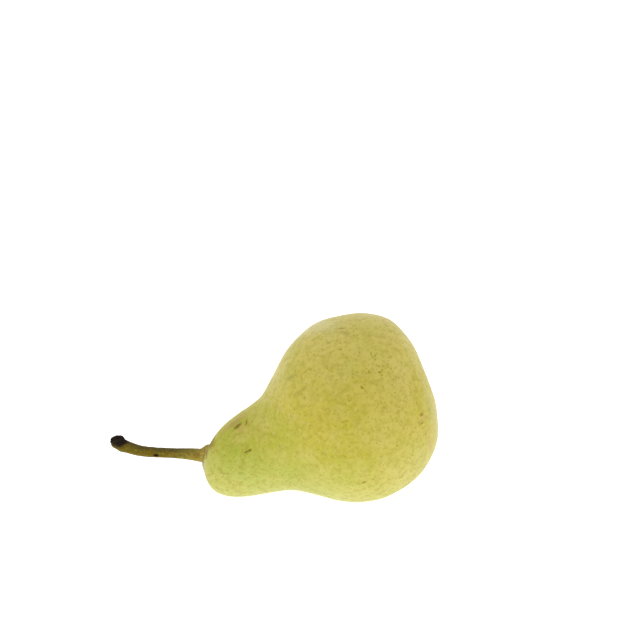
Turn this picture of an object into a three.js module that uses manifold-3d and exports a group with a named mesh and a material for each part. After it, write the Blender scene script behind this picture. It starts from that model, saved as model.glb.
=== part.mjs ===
// A ripe pear with its stalk on, as picked, lying on its side.
//
// It is three pieces: the fruit, whose flesh and skin grew as one, the woody stalk, whose root is
// sunk into the narrow end, and the calyx, the dried sepals in the basin of the blossom end.
//
// Lengths are in millimetres. The origin lies in the small flat spot under the belly, +Z is up,
// +X points to the blossom end, and the stalk points to -X.

import * as THREE from "three";
import { mergeVertices } from "three/addons/utils/BufferGeometryUtils.js";
import Module from "manifold-3d";

const wasm = await Module();
wasm.setup();

// ---------- driving dimensions ----------

const BELLY_RADIUS = 33.2; // half of the fruit's greatest width
const BELLY_HEIGHT = 32; // of the core line above the surface, at the origin
const BELLY_AT = 28; // distance of the widest place from the blossom end
const FRUIT_LENGTH = 85.5; // blossom end to stalk end, along the core line
const BASIN_DEPTH = 4; // of the hollow that the calyx sits in
const STALK_DIMPLE = 2; // how far the skin dips in at the stalk
const FIT_GAP = 0.3; // clearance of the stalk's root and the calyx in the fruit

const STALK_RADIUS = 1.7;
const STALK_LENGTH = 43.4; // along its bend, root included
const STALK_ROOT_DEPTH = 5; // how far the stalk's root is sunk below the skin

const CUP_RADIUS = 3.2; // of the calyx's cup, which the sepals stand on
const CUP_ROOT_DEPTH = 1.8; // how far the cup is sunk below the basin's floor
const CUP_HEIGHT = 1.1;
const SEPAL_COUNT = 5;
const SEPAL_LENGTH = 3.4;
const SEPAL_HALF_WIDTH = 1.5;
const SEPAL_THICKNESS = 0.8;
const SEPAL_ROOT = 1; // how far a sepal reaches down into the cup's rim
const SEPAL_INSET = 0.7; // of a sepal's middle, in from the cup's side
const SEPAL_LEAN = 38; // degrees outwards
const SEPAL_LEAN_SPREAD = 12; // degrees more or less, from sepal to sepal
const SEPAL_LENGTH_SPREAD = 0.5; // longer or shorter, from sepal to sepal

const FRUIT_SIDES = 72;
const FRUIT_RINGS = 46;
const STALK_SIDES = 14;
const STALK_RINGS = 26;
const CUP_SIDES = 20;

// ---------- the fruit's core line and half outline ----------

// The core line runs from the blossom end through the belly and droops to the neck, which lies on
// the surface too. Its last stretch turns backwards, where the stalk leaves askew.
const coreLine = new THREE.CatmullRomCurve3(
  [
    [25.9, 1.5, 13.7],
    [19.1, 0.9, 9.4],
    [9.7, 0.3, 4.3],
    [0, 0, 0],
    [-9.6, -0.2, -4.7],
    [-19.1, -0.4, -9.7],
    [-28.9, -0.6, -13.7],
    [-38.8, -0.1, -17.4],
    [-44, 2, -19.2],
    [-49.8, 6.4, -21],
  ].map(([x, y, rise]) => new THREE.Vector3(x, y, BELLY_HEIGHT + rise)),
);

// The fruit's rings turn from the first of these directions through the second to the third.
const blossomFacing = direction(20, -9);
const bellyFacing = direction(23, 0);
const neckFacing = direction(10.6, 29);

// [distance from the blossom end, radius], from the basin's floor to the dimple round the stalk
const FRUIT_OUTLINE = [
  [BASIN_DEPTH, 0],
  [BASIN_DEPTH - 0.3, 3.4],
  [1.5, 6.1],
  [0, 9.4],
  [1.4, 15.8],
  [4.3, 22.5],
  [9.5, 27.6],
  [17, 31.4],
  [BELLY_AT, BELLY_RADIUS],
  [36, 31.7],
  [43.5, 28.2],
  [50.5, 22.9],
  [57.5, 17.9],
  [64, 16],
  [70.5, 14.9],
  [76, 13.1],
  [80, 9.2],
  [83, 6.7],
  [FRUIT_LENGTH - 0.6, 4.6],
  [FRUIT_LENGTH - 1.1, 2.8],
  [FRUIT_LENGTH - STALK_DIMPLE, 0],
];

// How uneven the growth is, as shares of the radius
const OVAL_SHARE = 0.006;
const THREE_SIDED_SHARE = 0.007;
const THREE_SIDED_TWIST = 0.013; // radians per millimetre along the fruit
const BASIN_LOBES = 5;
const BASIN_LOBES_SHARE = 0.015;
const BASIN_LOBES_TURN = 0.4; // radians round the core line
const BASIN_LOBES_REACH = 14; // how far they fade out from the blossom end

// Between these distances the rings turn from the belly's direction to the neck's.
const NECK_TURN = [50, 80];

// From this distance on, the neck reaches further at its lower front, as a slope and at an angle
// round the core line.
const LOBE_FROM = 60;
const LOBE_SLOPE = 0.37;
const LOBE_ANGLE = THREE.MathUtils.degToRad(-42);

// ---------- helpers ----------

/** A direction from the blossom end to the stalk, by its drop and its turn backwards in degrees. */
function direction(drop, turn) {
  const [down, back] = [drop, turn].map(THREE.MathUtils.degToRad);
  const level = Math.cos(down);
  return new THREE.Vector3(-level * Math.cos(back), level * Math.sin(back), -Math.sin(down));
}

/** A closed geometry as a solid that can be joined and cut. */
function solidOf(geometry) {
  const bare = geometry.index ? geometry.toNonIndexed() : geometry.clone();
  bare.deleteAttribute("normal");
  bare.deleteAttribute("uv");
  const merged = mergeVertices(bare, 1e-4);
  const corners = merged.index.array;
  const faces = [];
  for (let i = 0; i < corners.length; i += 3) {
    const [a, b, c] = corners.slice(i, i + 3);
    if (a !== b && b !== c && c !== a) faces.push(a, b, c);
  }
  return new wasm.Manifold(
    new wasm.Mesh({
      numProp: 3,
      vertProperties: merged.attributes.position.array,
      triVerts: new Uint32Array(faces),
    }),
  );
}

/** A solid as a geometry again. */
function geometryOf(solid) {
  const mesh = solid.getMesh();
  const geometry = new THREE.BufferGeometry();
  geometry.setAttribute("position", new THREE.BufferAttribute(mesh.vertProperties, 3));
  geometry.setIndex(new THREE.BufferAttribute(mesh.triVerts, 1));
  geometry.computeVertexNormals();
  return geometry;
}

/** [height, radius] pairs as the points that a lathe or a spline takes. */
function outlinePoints(pairs) {
  return pairs.map(([height, radius]) => new THREE.Vector2(radius, height));
}

/** The point of a curve at a distance along it; past its ends it goes on straight. */
function pointAt(curve, distance) {
  const share = distance / curve.getLength();
  const inside = THREE.MathUtils.clamp(share, 0, 1);
  const beyond = (share - inside) * curve.getLength();
  return curve.getPointAt(inside).addScaledVector(curve.getTangentAt(inside), beyond);
}

/** Lays a lathe along a curve: its height is the distance along, and its rings face as asked. */
function layAlong(geometry, curve, facingAt) {
  const position = geometry.attributes.position;
  for (let i = 0; i < position.count; i++) {
    const distance = position.getY(i);
    const along = facingAt(distance);
    const up = new THREE.Vector3(0, 0, 1).addScaledVector(along, -along.z).normalize();
    const front = new THREE.Vector3().crossVectors(up, along);
    const point = pointAt(curve, distance);
    point.addScaledVector(up, position.getX(i)).addScaledVector(front, position.getZ(i));
    position.setXYZ(i, point.x, point.y, point.z);
  }
  return geometry;
}

// ---------- the fruit ----------

/** The direction that the fruit's ring at a distance faces. */
function fruitFacing(distance) {
  return bellyFacing
    .clone()
    .lerp(blossomFacing, 1 - THREE.MathUtils.smoothstep(distance, 0, BELLY_AT))
    .lerp(neckFacing, THREE.MathUtils.smoothstep(distance, ...NECK_TURN))
    .normalize();
}

/** How much wider or narrower than its outline the fruit grew, at an angle and a distance. */
function swell(angle, distance) {
  const share = THREE.MathUtils.clamp(distance / FRUIT_LENGTH, 0, 1);
  const middle = Math.sin(Math.PI * share);
  const nearBasin = Math.exp(-((distance / BASIN_LOBES_REACH) ** 2));
  const twisted = angle + THREE_SIDED_TWIST * (distance - BELLY_AT);
  const oval = OVAL_SHARE * middle * Math.sin(2 * angle);
  const threeSided = THREE_SIDED_SHARE * middle * Math.cos(3 * twisted);
  const lobes = Math.cos(BASIN_LOBES * angle + BASIN_LOBES_TURN);
  return 1 + oval - threeSided + BASIN_LOBES_SHARE * nearBasin * lobes;
}

/** How much further the neck reaches on one side, so that the stalk's dimple is askew. */
function askew(up, front, distance) {
  const nearStalk = THREE.MathUtils.smoothstep(distance, LOBE_FROM, FRUIT_LENGTH);
  return LOBE_SLOPE * nearStalk * (front * Math.cos(LOBE_ANGLE) + up * Math.sin(LOBE_ANGLE));
}

function makeFruit(stalkSocket, calyxSocket) {
  const outline = new THREE.SplineCurve(outlinePoints(FRUIT_OUTLINE)).getSpacedPoints(FRUIT_RINGS);
  const geometry = new THREE.LatheGeometry(outline, FRUIT_SIDES);
  const position = geometry.attributes.position;
  for (let i = 0; i < position.count; i++) {
    const [up, distance, front] = [position.getX(i), position.getY(i), position.getZ(i)];
    const size = swell(Math.atan2(up, front), distance);
    position.setXYZ(i, up * size, distance + askew(up, front, distance), front * size);
  }
  const whole = solidOf(layAlong(geometry, coreLine, fruitFacing));

  // The surface that the pear lies on presses a small flat into the belly and one into the neck.
  const room = 4 * BELLY_RADIUS;
  const above = new THREE.BoxGeometry(2 * room, 2 * room, room).translate(0, 0, room / 2);
  return whole.intersect(solidOf(above)).subtract(stalkSocket).subtract(calyxSocket);
}

// ---------- the stalk ----------

// It leaves the dimple backwards, turns level and bends up towards its knob.
const stalkLine = new THREE.CatmullRomCurve3([
  pointAt(coreLine, coreLine.getLength() - STALK_DIMPLE - STALK_ROOT_DEPTH),
  pointAt(coreLine, coreLine.getLength()),
  ...[
    [-57.4, 8.6, -21],
    [-64.7, 9.5, -21],
    [-71.9, 10.3, -21],
    [-76.3, 10.7, -20.5],
    [-80.4, 10.8, -19.1],
    [-82, 10.7, -18],
    [-83.1, 10.5, -16.8],
    [-83.7, 10.3, -15.4],
  ].map(([x, y, rise]) => new THREE.Vector3(x, y, BELLY_HEIGHT + rise)),
]);

// [distance from the root's end, radius]: a fleshy foot, a slim shaft and a knob where it broke off
const STALK_OUTLINE = [
  [0, 2],
  [STALK_ROOT_DEPTH, 2.9],
  [STALK_ROOT_DEPTH + 3.5, STALK_RADIUS + 0.85],
  [STALK_ROOT_DEPTH + 6.5, STALK_RADIUS + 0.55],
  [STALK_ROOT_DEPTH + 9.5, STALK_RADIUS + 0.35],
  [18.5, STALK_RADIUS + 0.1],
  [22, STALK_RADIUS],
  [27, STALK_RADIUS],
  [32, STALK_RADIUS + 0.1],
  [35, STALK_RADIUS + 0.2],
  [38, STALK_RADIUS + 0.35],
  [40.5, STALK_RADIUS + 0.6],
  [STALK_LENGTH - 1.1, STALK_RADIUS + 0.8],
  [STALK_LENGTH, STALK_RADIUS + 0.4],
];

/** The stalk, or with a margin the hole that it stands in. */
function makeStalk(margin) {
  const grown = STALK_OUTLINE.map(([height, radius], i) => [i ? height : -margin, radius + margin]);
  const side = new THREE.SplineCurve(outlinePoints(grown)).getSpacedPoints(STALK_RINGS);
  const [rootEnd, knobEnd] = [side[0].y, side[STALK_RINGS].y];
  const outline = [new THREE.Vector2(0, rootEnd), ...side, new THREE.Vector2(0, knobEnd)];
  const facingAt = (distance) => {
    const share = THREE.MathUtils.clamp(distance / stalkLine.getLength(), 0, 1);
    return stalkLine.getTangentAt(share);
  };
  return solidOf(layAlong(new THREE.LatheGeometry(outline, STALK_SIDES), stalkLine, facingAt));
}

// ---------- the calyx ----------

// The calyx stands on the basin's floor, with its own +Z out of the fruit.
const calyxGroup = new THREE.Group();
const outwards = fruitFacing(BASIN_DEPTH).negate();
calyxGroup.position.copy(pointAt(coreLine, BASIN_DEPTH));
calyxGroup.quaternion.setFromUnitVectors(new THREE.Vector3(0, 0, 1), outwards);
calyxGroup.updateMatrix();

/** The calyx's cup, hollow inside its rim, or with a margin the hole that it sits in. */
function makeCup(margin) {
  const wide = CUP_RADIUS + margin;
  const hollow = [
    [CUP_HEIGHT, CUP_RADIUS - 1],
    [0.2, CUP_RADIUS - 1.4],
    [0, 0],
  ];
  const outline = [
    [-CUP_ROOT_DEPTH - margin, 0],
    [-CUP_ROOT_DEPTH - margin, wide - 0.6],
    [0.3, wide],
    [CUP_HEIGHT, wide - 0.2],
    ...(margin ? [[CUP_HEIGHT, 0]] : hollow),
  ];
  const geometry = new THREE.LatheGeometry(outlinePoints(outline), CUP_SIDES);
  return solidOf(geometry.rotateX(Math.PI / 2));
}

/** One dried sepal: a pointed blade, rooted in the cup's rim and leaning outwards. */
function makeSepal(turn, lean, length) {
  const blade = new THREE.Shape();
  blade.moveTo(-SEPAL_HALF_WIDTH, -SEPAL_ROOT);
  blade.lineTo(SEPAL_HALF_WIDTH, -SEPAL_ROOT);
  blade.quadraticCurveTo(SEPAL_HALF_WIDTH, length / 2, 0, length);
  blade.quadraticCurveTo(-SEPAL_HALF_WIDTH, length / 2, -SEPAL_HALF_WIDTH, -SEPAL_ROOT);
  const extrusion = { depth: SEPAL_THICKNESS, bevelEnabled: false, curveSegments: 5 };
  const geometry = new THREE.ExtrudeGeometry(blade, extrusion);
  geometry.translate(0, 0, -SEPAL_THICKNESS / 2).rotateX(Math.PI / 2 + lean);
  geometry.translate(0, SEPAL_INSET - CUP_RADIUS, CUP_HEIGHT / 2).rotateZ(turn);
  return solidOf(geometry);
}

function makeCalyx() {
  let calyx = makeCup(0);
  for (let i = 0; i < SEPAL_COUNT; i++) {
    const turn = (2 * Math.PI * i) / SEPAL_COUNT;
    const lean = SEPAL_LEAN + SEPAL_LEAN_SPREAD * Math.cos(2.3 * i);
    const length = SEPAL_LENGTH + SEPAL_LENGTH_SPREAD * Math.sin(1.7 * i);
    calyx = calyx.add(makeSepal(turn, THREE.MathUtils.degToRad(lean), length));
  }
  return calyx;
}

// ---------- assembly ----------

function piece(name, solid, color, roughness) {
  const material = new THREE.MeshStandardMaterial({ color, roughness, metalness: 0 });
  const mesh = new THREE.Mesh(geometryOf(solid), material);
  mesh.name = name;
  return mesh;
}

const stalkSocket = makeStalk(FIT_GAP);
const calyxSocket = makeCup(FIT_GAP).transform(calyxGroup.matrix.elements);

const pear = new THREE.Group();
pear.add(piece("fruit", makeFruit(stalkSocket, calyxSocket), "#c9bd5c", 0.45));
pear.add(piece("stalk", makeStalk(0), "#75602a", 0.7));
calyxGroup.add(piece("calyx", makeCalyx(), "#3a2b1c", 0.85));
pear.add(calyxGroup);

export default pear;
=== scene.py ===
"""A ripe pear that lies on its side, dressed round its solids: skin, stalk and dried calyx.

Each operator grows one piece from a few named sizes, and the last one sets the stage. Places are in
the part's own frame: the origin is in the flat spot under the belly, +Z is up, +X points to the
blossom end and the stalk points to -X. Blender takes metres, and a table or a value is in
millimetres where its comment says so.
"""

import math

import bpy
from mathutils import Matrix, Vector


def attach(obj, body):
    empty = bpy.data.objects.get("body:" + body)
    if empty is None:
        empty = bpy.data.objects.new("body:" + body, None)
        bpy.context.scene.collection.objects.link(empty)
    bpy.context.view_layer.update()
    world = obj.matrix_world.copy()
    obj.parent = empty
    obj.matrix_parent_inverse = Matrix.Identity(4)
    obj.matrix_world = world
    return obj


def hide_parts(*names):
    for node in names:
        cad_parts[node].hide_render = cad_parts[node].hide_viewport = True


bl_info = {
    "name": "Ripe Pear",
    "version": (1, 0, 0),
    "blender": (4, 5, 0),
    "location": "View3D > Sidebar > Pear",
    "description": "Grows a ripe pear with its stalk and dried calyx, and its stage",
    "category": "Add Mesh",
}

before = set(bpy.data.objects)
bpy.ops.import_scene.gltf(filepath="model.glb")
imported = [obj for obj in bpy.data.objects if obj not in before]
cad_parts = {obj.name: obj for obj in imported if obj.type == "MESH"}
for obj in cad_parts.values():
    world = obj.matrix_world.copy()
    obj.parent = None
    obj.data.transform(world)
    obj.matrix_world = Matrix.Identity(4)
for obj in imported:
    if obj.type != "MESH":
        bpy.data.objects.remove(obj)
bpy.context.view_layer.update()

MM = 0.001  # one millimetre, in metres
WELD = 0.001 * MM  # points closer than this are one point


# ---------- colours, sizes and small helpers ----------


def linear(colour):
    """An sRGB hex colour as the linear red, green, blue and alpha that a socket takes."""
    shares = [int(colour[i : i + 2], 16) / 255 for i in (1, 3, 5)]
    return [c / 12.92 if c <= 0.04045 else ((c + 0.055) / 1.055) ** 2.4 for c in shares] + [1.0]


def scale_for(size):
    """The scale of a pattern whose features are a given size in millimetres."""
    return 1 / (size * MM)


def length_property(name, description, default):
    """A length in metres that a user can change."""
    return bpy.props.FloatProperty(
        name=name, description=description, default=default, min=0.0, precision=5, unit="LENGTH"
    )


def count_property(name, description, default, lowest=3):
    """A whole number that a user can change."""
    return bpy.props.IntProperty(name=name, description=description, default=default, min=lowest)


def strength_property(name, description, default):
    """A strength of light that a user can change."""
    return bpy.props.FloatProperty(name=name, description=description, default=default, min=0.0)


def colour_property(name, description, default):
    """A colour that a user can change, from its sRGB hex value."""
    return bpy.props.FloatVectorProperty(
        name=name,
        description=description,
        default=linear(default),
        size=4,
        min=0.0,
        max=1.0,
        subtype="COLOR",
    )


def add_node(tree, kind, inputs=(), **settings):
    """Adds a node with its settings. An input takes a value, a socket, or a node's first output."""
    node = tree.nodes.new(kind)
    for name, value in settings.items():
        setattr(node, name, value)
    for key, value in dict(inputs).items():
        if isinstance(value, bpy.types.Node):
            value = next(output for output in value.outputs if output.enabled)
        if isinstance(value, bpy.types.NodeSocket):
            tree.links.new(value, node.inputs[key])
        else:
            node.inputs[key].default_value = value
    return node


def new_shape_tree(name, sockets):
    """A Geometry Nodes tree with named inputs, listed by their type, and one geometry out."""
    tree = bpy.data.node_groups.new(name, "GeometryNodeTree")
    tree.is_modifier = True
    for kind, labels in sockets.items():
        for label in labels:
            tree.interface.new_socket(label, in_out="INPUT", socket_type="NodeSocket" + kind)
    tree.interface.new_socket("Geometry", in_out="OUTPUT", socket_type="NodeSocketGeometry")
    return tree, add_node(tree, "NodeGroupInput").outputs


def end_tree(tree, geometry, material):
    """Ends a shape tree: smooth faces, no instances, one material."""
    smooth = add_node(tree, "GeometryNodeSetShadeSmooth", {"Geometry": geometry})
    real = add_node(tree, "GeometryNodeRealizeInstances", {"Geometry": smooth})
    skinned = add_node(tree, "GeometryNodeSetMaterial", {"Geometry": real, "Material": material})
    add_node(tree, "NodeGroupOutput", {"Geometry": skinned})


def new_guide(name, points):
    """A curve through points in millimetres, for a shape tree to read."""
    data = bpy.data.curves.new(name, "CURVE")
    data.dimensions = "3D"
    spline = data.splines.new("POLY")
    spline.points.add(len(points) - 1)
    for target, point in zip(spline.points, points):
        target.co = (*(MM * value for value in point), 1.0)
    guide = bpy.data.objects.new(name, data)
    bpy.context.scene.collection.objects.link(guide)
    return guide


def outline_points(pairs):
    """[distance, radius] pairs as the points of an outline: X is the distance, Z the radius."""
    return [(distance, 0.0, radius) for distance, radius in pairs]


def grow(name, tree, guides, settings):
    """Runs a shape tree with its inputs set, and keeps the result as a plain mesh object.

    A guide is given as points in millimetres, and goes when the piece is grown. Every other input
    takes the setting of its own name.
    """
    curves = {label: new_guide(label, points) for label, points in guides.items()}
    piece = bpy.data.objects.new(name, bpy.data.meshes.new(name + "_seed"))
    bpy.context.scene.collection.objects.link(piece)
    modifier = piece.modifiers.new("shape", "NODES")
    modifier.node_group = tree
    for socket in tree.interface.items_tree:
        if socket.name in curves:
            modifier[socket.identifier] = curves[socket.name]
        elif socket.in_out == "INPUT":
            modifier[socket.identifier] = getattr(settings, socket.name.lower().replace(" ", "_"))
    depsgraph = bpy.context.evaluated_depsgraph_get()
    mesh = bpy.data.meshes.new_from_object(
        piece.evaluated_get(depsgraph), preserve_all_data_layers=True, depsgraph=depsgraph
    )
    if not mesh.polygons:
        raise RuntimeError(f"the tree {tree.name} made no faces")
    piece.modifiers.remove(modifier)
    seed = piece.data
    piece.data = mesh
    bpy.data.meshes.remove(seed)
    mesh.name = name
    for guide in curves.values():
        bpy.data.curves.remove(guide.data)
    return piece


def put_on(piece, node):
    """Makes a finished piece stand for a solid: hangs it under the root body and hides the solid."""
    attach(piece, "root")
    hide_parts(node)


# ---------- what a user can change ----------


class FruitSettings(bpy.types.PropertyGroup):
    """Sizes and colours of the fruit"""

    belly_radius: length_property("Belly radius", "Half of the fruit's greatest width", 0.0332)
    belly_height: length_property("Core height", "Of the core line over the belly's flat", 0.032)
    length: length_property("Length", "Blossom end to stalk end along the core", 0.0855)
    basin_depth: length_property("Basin depth", "Of the hollow at the blossom end", 0.004)
    dimple_depth: length_property("Dimple depth", "Of the hollow round the stalk", 0.002)
    unevenness: length_property("Unevenness", "Height of the soft dents in the flesh", 0.0003)
    sides: count_property("Sides", "Faces round the fruit", 300)
    rings: count_property("Rings", "Faces along the fruit", 240)
    ripe: colour_property("Ripe skin", "Yellow of the belly", "#c4b63d")
    # tints by height that also paint light: the top paler by a painted sheen, the underside paler by
    # painted light from the floor
    warm_pale_and_sheen: colour_property("Warm pale top", "Warm pale yellow, with painted sheen on top", "#d8c676")
    shaded: colour_property("Pale underside", "Pale green-yellow, with painted floor light below", "#d6da8a")
    unripe: colour_property("Greener skin", "Yellow-green of the neck", "#a5af1a")
    pale: colour_property("Pale skin", "Where the yellow is lightest", "#d0c26b")
    lenticel: colour_property("Lenticels", "Olive breathing pores", "#9c8c00")
    russet: colour_property("Russet", "Corky brown of the larger pores", "#94800a")
    basin: colour_property("Basin", "Red-brown russet at the calyx and the stalk", "#774f24")
    scar: colour_property("Scars", "Olive-brown of healed skin", "#938200")
    nick: colour_property("Nicks", "Dark brown of deeper nicks", "#7a6400")
    smudge: colour_property("Smudges", "Grey-olive of rubbed skin", "#9a8e38")
    # painted highlight: a whitish colour laid on top of the belly
    painted_highlight: colour_property("Painted highlight", "Whitish highlight painted on top of the belly", "#eeeacc")
    blush: colour_property("Blush", "Tan beside a scar", "#c2a255")
    tan: colour_property("Stalk end", "Thin grey-tan russet round the stalk", "#a8976a")
    # the lip's colour, also used as painted shade at the lip's edge
    lip_and_shade: colour_property("Lip and shade", "Olive-tan of the fleshy lip over the stalk", "#836a0c")


class StalkSettings(bpy.types.PropertyGroup):
    """Sizes and colours of the stalk"""

    radius: length_property("Radius", "Of the slim part of the shaft", 0.0017)
    length: length_property("Length", "Along the bend with its root", 0.0434)
    root_depth: length_property("Root depth", "How far the root is sunk in the fruit", 0.005)
    sides: count_property("Sides", "Faces round the stalk", 72)
    rings: count_property("Rings", "Faces along the stalk", 330)
    knob_roughness: length_property("Knob roughness", "Height of the cracks in the knob", 0.0012)
    base: colour_property("Base", "Olive-yellow where it has grown into the fruit", "#a3943e")
    foot: colour_property("Foot", "Olive of the fleshy foot", "#b09e44")
    bark: colour_property("Bark", "Olive-brown of the shaft", "#705f13")
    warm: colour_property("Warm bark", "Where the bark is browner", "#86661c")
    green: colour_property("Green bark", "Where the bark is still green", "#6c6a20")
    shaded: colour_property("Darker bark", "Grey-brown of the upper side", "#4f4324")
    knob: colour_property("Knob", "Black-brown of the dried end", "#1f140d")


class CalyxSettings(bpy.types.PropertyGroup):
    """Sizes and colours of the dried calyx"""

    cup_radius: length_property("Cup radius", "Of the cup that the sepals stand on", 0.0032)
    sepals: count_property("Sepals", "How many sepals stand on the cup", 5)
    sepal_length: length_property("Sepal length", "From the cup's rim to the tip", 0.0036)
    sepal_width: length_property("Sepal width", "At the rim", 0.0034)
    petal_stubs: count_property("Petal stubs", "Withered feet of petals inside the sepals", 9)
    stamens: count_property("Stamens", "How many dried stamens stand inside", 18)
    seed: count_property("Seed", "Another number makes them wither another way", 5, lowest=0)
    sides: count_property("Sides", "Faces round the cup", 48)
    rings: count_property("Rings", "Faces from the cup's base to its floor", 24)
    sepal: colour_property("Sepals", "Dark brown of the dried sepals", "#2b1a10")
    warm: colour_property("Warm sepals", "Red-brown where they are thin", "#5a2e18")
    # a pale tan of the tips and threads, partly painted glints
    tip: colour_property("Tips and threads", "Pale tan of the brittle edges", "#9c8460")


class StageSettings(bpy.types.PropertyGroup):
    """The floor and the light"""

    floor: colour_property("Floor", "Colour of the plain floor", "#c4c4c4")
    light: strength_property("Light", "From above and behind", 1.0)
    fill: strength_property("Fill", "Of the dimmer light in front", 0.6)
    glow: strength_property("Floor glow", "Light that the floor gives itself", 0.88)


# ---------- the fruit ----------

# Points of the core line as x, y and rise over the belly's core, in millimetres. It runs from the
# blossom end through the belly and droops to the neck, and its last stretch turns backwards.
CORE_LINE = [
    (25.9, 1.5, 13.7),
    (19.1, 0.9, 9.4),
    (9.7, 0.3, 4.3),
    (0, 0, 0),
    (-9.6, -0.2, -4.7),
    (-19.1, -0.4, -9.7),
    (-28.9, -0.6, -13.7),
    (-38.8, -0.1, -17.4),
    (-44, 2, -19.2),
    (-49.8, 6.4, -21),
]
BELLY_AT = 28  # distance of the widest place from the blossom end, in millimetres
BASIN_REACH = 26  # how far the basin's lobes run, in millimetres
NECK_TURN = (50, 80)  # where the rings turn from the belly's way to the neck's, in millimetres
THREE_SIDED_TWIST = 0.013  # of the fruit's three soft ridges, in radians per millimetre
DENT_SIZE = 14.3  # of the soft dents in the flesh, in millimetres
LOWEST = (-1.0, -1.0, 0.0)  # the skin's lowest X, Y and Z, in metres: it rests on the floor

# From LOBE_FROM on, in millimetres, the neck reaches further at its lower front, by a slope and at an
# angle round the core line, so that the stalk's dimple is askew.
LOBE_FROM = 60
LOBE_SLOPE = 0.37
LOBE_ANGLE = math.radians(-42)


def direction(drop, turn):
    """A direction from the blossom end to the stalk, from its drop and turn back in degrees."""
    down, back = math.radians(drop), math.radians(turn)
    level = math.cos(down)
    return Vector((-level * math.cos(back), level * math.sin(back), -math.sin(down)))


BLOSSOM_FACING = direction(20, -9)
BELLY_FACING = direction(23, 0)
NECK_FACING = direction(10.6, 29)


def fruit_outline(fruit):
    """The fruit's half outline in millimetres, from the basin's floor to the stalk's dimple."""
    wide, length = fruit.belly_radius / MM, fruit.length / MM
    basin, dimple = fruit.basin_depth / MM, fruit.dimple_depth / MM
    return [
        (basin, 0),
        (basin - 0.3, 3.4),
        (1.5, 6.1),
        (0, 9.4),
        (1.4, 15.8),
        (4.3, 22.5),
        (9.5, 27.6),
        (17, 31.4),
        (BELLY_AT, wide),
        (36, 31.7),
        (43.5, 28.2),
        (50.5, 22.9),
        (57.5, 17.9),
        (64, 16),
        (70.5, 14.9),
        (76, 13.1),
        (80, 9.2),
        (83, 6.7),
        (length - 0.6, 4.6),
        (length - 1.1, 2.8),
        (length - dimple, 0),
    ]


GUIDE_STEPS = 24  # from one point of a rounded guide to the next


def smooth_guide(tree, guide):
    """A guide curve read by a tree, rounded through its points."""
    info = add_node(tree, "GeometryNodeObjectInfo", {"Object": guide}, transform_space="ORIGINAL")
    rounded = add_node(
        tree,
        "GeometryNodeCurveSplineType",
        {"Curve": info.outputs["Geometry"]},
        spline_type="CATMULL_ROM",
    )
    return add_node(
        tree, "GeometryNodeSetSplineResolution", {"Geometry": rounded, "Resolution": GUIDE_STEPS}
    )


def start_lathe(tree, given):
    """A tube of rings, with where each of its points is on its ring and on the outline.

    The ring's X becomes the front and its Y the top. The tube, the place on it, the share of its
    length, the angle, the distance and the radius are sockets, and the ring is a node.
    """
    tube = add_node(
        tree,
        "GeometryNodeMeshCylinder",
        {"Vertices": given["Sides"], "Side Segments": given["Rings"], "Radius": 1.0, "Depth": 1.0},
        fill_type="NONE",
    )
    place = add_node(tree, "GeometryNodeInputPosition")
    ring = add_node(tree, "ShaderNodeSeparateXYZ", {"Vector": place})
    share = add_node(tree, "ShaderNodeMath", {0: ring.outputs["Z"], 1: 0.5}, operation="ADD")
    outline = add_node(
        tree,
        "GeometryNodeSampleCurve",
        {"Curves": smooth_guide(tree, given["Outline"]), "Factor": share},
        mode="FACTOR",
    )
    half = add_node(tree, "ShaderNodeSeparateXYZ", {"Vector": outline.outputs["Position"]})
    angle = add_node(
        tree, "ShaderNodeMath", {0: ring.outputs["Y"], 1: ring.outputs["X"]}, operation="ARCTAN2"
    )
    return {
        "tube": tube.outputs["Mesh"],
        "place": place.outputs["Position"],
        "ring": ring,
        "share": share.outputs["Value"],
        "angle": angle.outputs["Value"],
        "distance": half.outputs["X"],
        "radius": half.outputs["Z"],
    }


def add_waves(tree, lathe, waves):
    """One plus waves round the ring, each as (share of the radius, count, phase, twist, weight)."""
    total = 1.0
    for share, count, phase, twist, weight in waves:
        turned = add_node(
            tree, "ShaderNodeMath", {0: lathe["distance"], 1: twist, 2: phase}, operation="MULTIPLY_ADD"
        )
        theta = add_node(
            tree, "ShaderNodeMath", {0: lathe["angle"], 1: count, 2: turned}, operation="MULTIPLY_ADD"
        )
        wave = add_node(tree, "ShaderNodeMath", {0: theta}, operation="COSINE")
        weighed = add_node(tree, "ShaderNodeMath", {0: wave, 1: weight}, operation="MULTIPLY")
        total = add_node(
            tree, "ShaderNodeMath", {0: weighed, 1: share, 2: total}, operation="MULTIPLY_ADD"
        )
    return total


def place_ring(tree, lathe, centre, facing, radius):
    """Where a ring's point goes: out from the ring's centre, square to the way that it faces."""
    level = add_node(
        tree, "ShaderNodeVectorMath", {0: (0.0, 0.0, 1.0), 1: facing}, operation="CROSS_PRODUCT"
    )
    front = add_node(tree, "ShaderNodeVectorMath", {0: level}, operation="NORMALIZE")
    top = add_node(tree, "ShaderNodeVectorMath", {0: facing, 1: front}, operation="CROSS_PRODUCT")
    out = centre
    for way, share in ((front, lathe["ring"].outputs["X"]), (top, lathe["ring"].outputs["Y"])):
        reach = add_node(tree, "ShaderNodeMath", {0: radius, 1: share}, operation="MULTIPLY")
        step = add_node(tree, "ShaderNodeVectorMath", {0: way, "Scale": reach}, operation="SCALE")
        out = add_node(tree, "ShaderNodeVectorMath", {0: out, 1: step}, operation="ADD")
    return out


def lay_points(tree, geometry, stored, target):
    """Stores values on the points under their names, moves the points and welds those that meet."""
    for name, value, data_type in stored:
        geometry = add_node(
            tree,
            "GeometryNodeStoreNamedAttribute",
            {"Geometry": geometry, "Name": name, "Value": value},
            data_type=data_type,
            domain="POINT",
        )
    laid = add_node(tree, "GeometryNodeSetPosition", {"Geometry": geometry, "Position": target})
    return add_node(tree, "GeometryNodeMergeByDistance", {"Geometry": laid, "Distance": WELD})


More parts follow.
